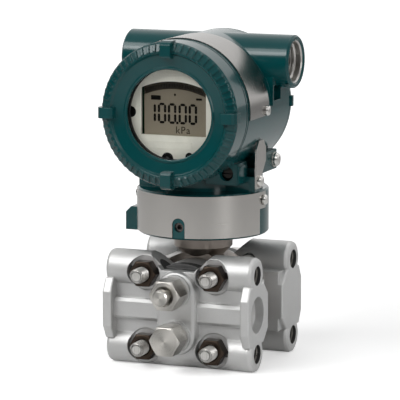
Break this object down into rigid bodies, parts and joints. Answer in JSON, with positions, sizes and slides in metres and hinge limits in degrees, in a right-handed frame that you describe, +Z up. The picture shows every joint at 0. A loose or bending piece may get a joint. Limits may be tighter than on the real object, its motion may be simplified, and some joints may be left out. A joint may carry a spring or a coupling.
{
  "type": "differential pressure transmitter",
  "caption": "Differential pressure transmitter: stainless process covers bolted to a capsule, with a turning painted housing, screwed covers, round window and side conduit entries.",
  "frame": {"origin": "on the neck's axis at the height of the lowest point of the process covers", "axes": "+X to the right seen from the display, -Y the display side, +Z up along the neck"},
  "size_m": [0.094, 0.1222, 0.1735],
  "materials": {
    "cast_stainless": "bead-blasted cast stainless steel",
    "machined_stainless": "machined bright stainless steel",
    "dark_nut_steel": "dark nuts, satin",
    "teal_paint": "gloss dark teal paint on cast aluminium",
    "band_stainless": "brushed stainless sheet",
    "screw_chrome": "bright screw heads",
    "seal_rubber": "black O-ring rubber",
    "ptfe": "white gasket",
    "window_glass": "clear toughened glass",
    "bezel_plastic": "cream moulded plastic",
    "screen": "grey-brown liquid crystal display",
    "board": "green circuit board",
    "shield_tin": "bright sheet shield",
    "post_brass": "turned brass",
    "block_plastic": "black moulded plastic",
    "cable_film": "amber film"
  },
  "bodies": {
    "detector": {"front_process_cover": "cast_stainless", "rear_process_cover": "cast_stainless", "capsule_body": "machined_stainless", "front_vent_plug": "machined_stainless", "front_drain_plug": "machined_stainless", "rear_vent_plug": "machined_stainless", "rear_drain_plug": "machined_stainless", "front_cover_gasket": "ptfe", "rear_cover_gasket": "ptfe", "cover_studs": "machined_stainless", "front_cover_nuts": "dark_nut_steel", "rear_cover_nuts": "dark_nut_steel", "front_diaphragm": "machined_stainless", "rear_diaphragm": "machined_stainless", "neck_seal": "seal_rubber", "sensor_header": "machined_stainless"},
    "housing": {"housing_casting": "teal_paint", "tag_band_screws": "screw_chrome", "neck_band_screws": "screw_chrome", "guard_plate_screw": "screw_chrome", "ground_screw": "screw_chrome", "ground_washer": "machined_stainless", "neck_lock_screw": "screw_chrome", "guard_plate": "band_stainless", "tag_band": "band_stainless", "neck_band": "band_stainless", "terminal_block": "block_plastic", "terminal_screws": "screw_chrome", "terminal_block_screws": "screw_chrome", "power_feedthrough": "block_plastic", "board_posts": "post_brass", "main_board": "board", "board_shield": "shield_tin", "indicator_bezel": "bezel_plastic", "indicator_screws": "screw_chrome", "indicator_screen": "screen", "indicator_board": "board", "sensor_cable": "cable_film"},
    "display_cover_seal": {"display_cover_seal": "seal_rubber"},
    "display_cover": {"display_cover_ring": "teal_paint", "display_window": "window_glass", "window_gasket": "seal_rubber", "window_retainer": "block_plastic"},
    "terminal_cover_seal": {"terminal_cover_seal": "seal_rubber"},
    "terminal_cover": {"terminal_cover_cap": "teal_paint"},
    "zero_screw": {"zero_adjust_screw": "screw_chrome"},
    "front_vent": {"front_vent_stem": "screw_chrome"},
    "rear_vent": {"rear_vent_stem": "screw_chrome"}
  },
  "joints": [
    {"name": "housing_turn", "type": "hinge", "parent": "detector", "child": "housing", "pos_m": [0, 0, 0.08], "axis": [0, 0, 1], "range_deg": [-180, 180]},
    {"name": "display_cover_travel", "type": "slide", "parent": "housing", "child": "display_cover_seal", "axis": [0, -1, 0], "range_m": [0, 0.009]},
    {"name": "display_cover_turn", "type": "hinge", "parent": "display_cover_seal", "child": "display_cover", "pos_m": [0, -0.031, 0.1352], "axis": [0, -1, 0], "range_deg": [0, 2160]},
    {"name": "terminal_cover_travel", "type": "slide", "parent": "housing", "child": "terminal_cover_seal", "axis": [0, 1, 0], "range_m": [0, 0.009]},
    {"name": "terminal_cover_turn", "type": "hinge", "parent": "terminal_cover_seal", "child": "terminal_cover", "pos_m": [0, 0.0292, 0.1352], "axis": [0, 1, 0], "range_deg": [0, 2160]},
    {"name": "zero_screw_turn", "type": "hinge", "parent": "housing", "child": "zero_screw", "pos_m": [0.0215, -0.018, 0.1024], "axis": [0, -1, 0], "continuous": true},
    {"name": "front_vent_turn", "type": "hinge", "parent": "detector", "child": "front_vent", "pos_m": [0, -0.05, 0.04215], "axis": [0, -1, 0], "range_deg": [0, 720]},
    {"name": "rear_vent_turn", "type": "hinge", "parent": "detector", "child": "rear_vent", "pos_m": [0, 0.05, 0.04215], "axis": [0, 1, 0], "range_deg": [0, 720]}
  ],
  "couplings": [
    {"joint": "display_cover_travel", "follows": "display_cover_turn", "m_per_rad": 0.0002387},
    {"joint": "terminal_cover_travel", "follows": "terminal_cover_turn", "m_per_rad": 0.0002387}
  ]
}
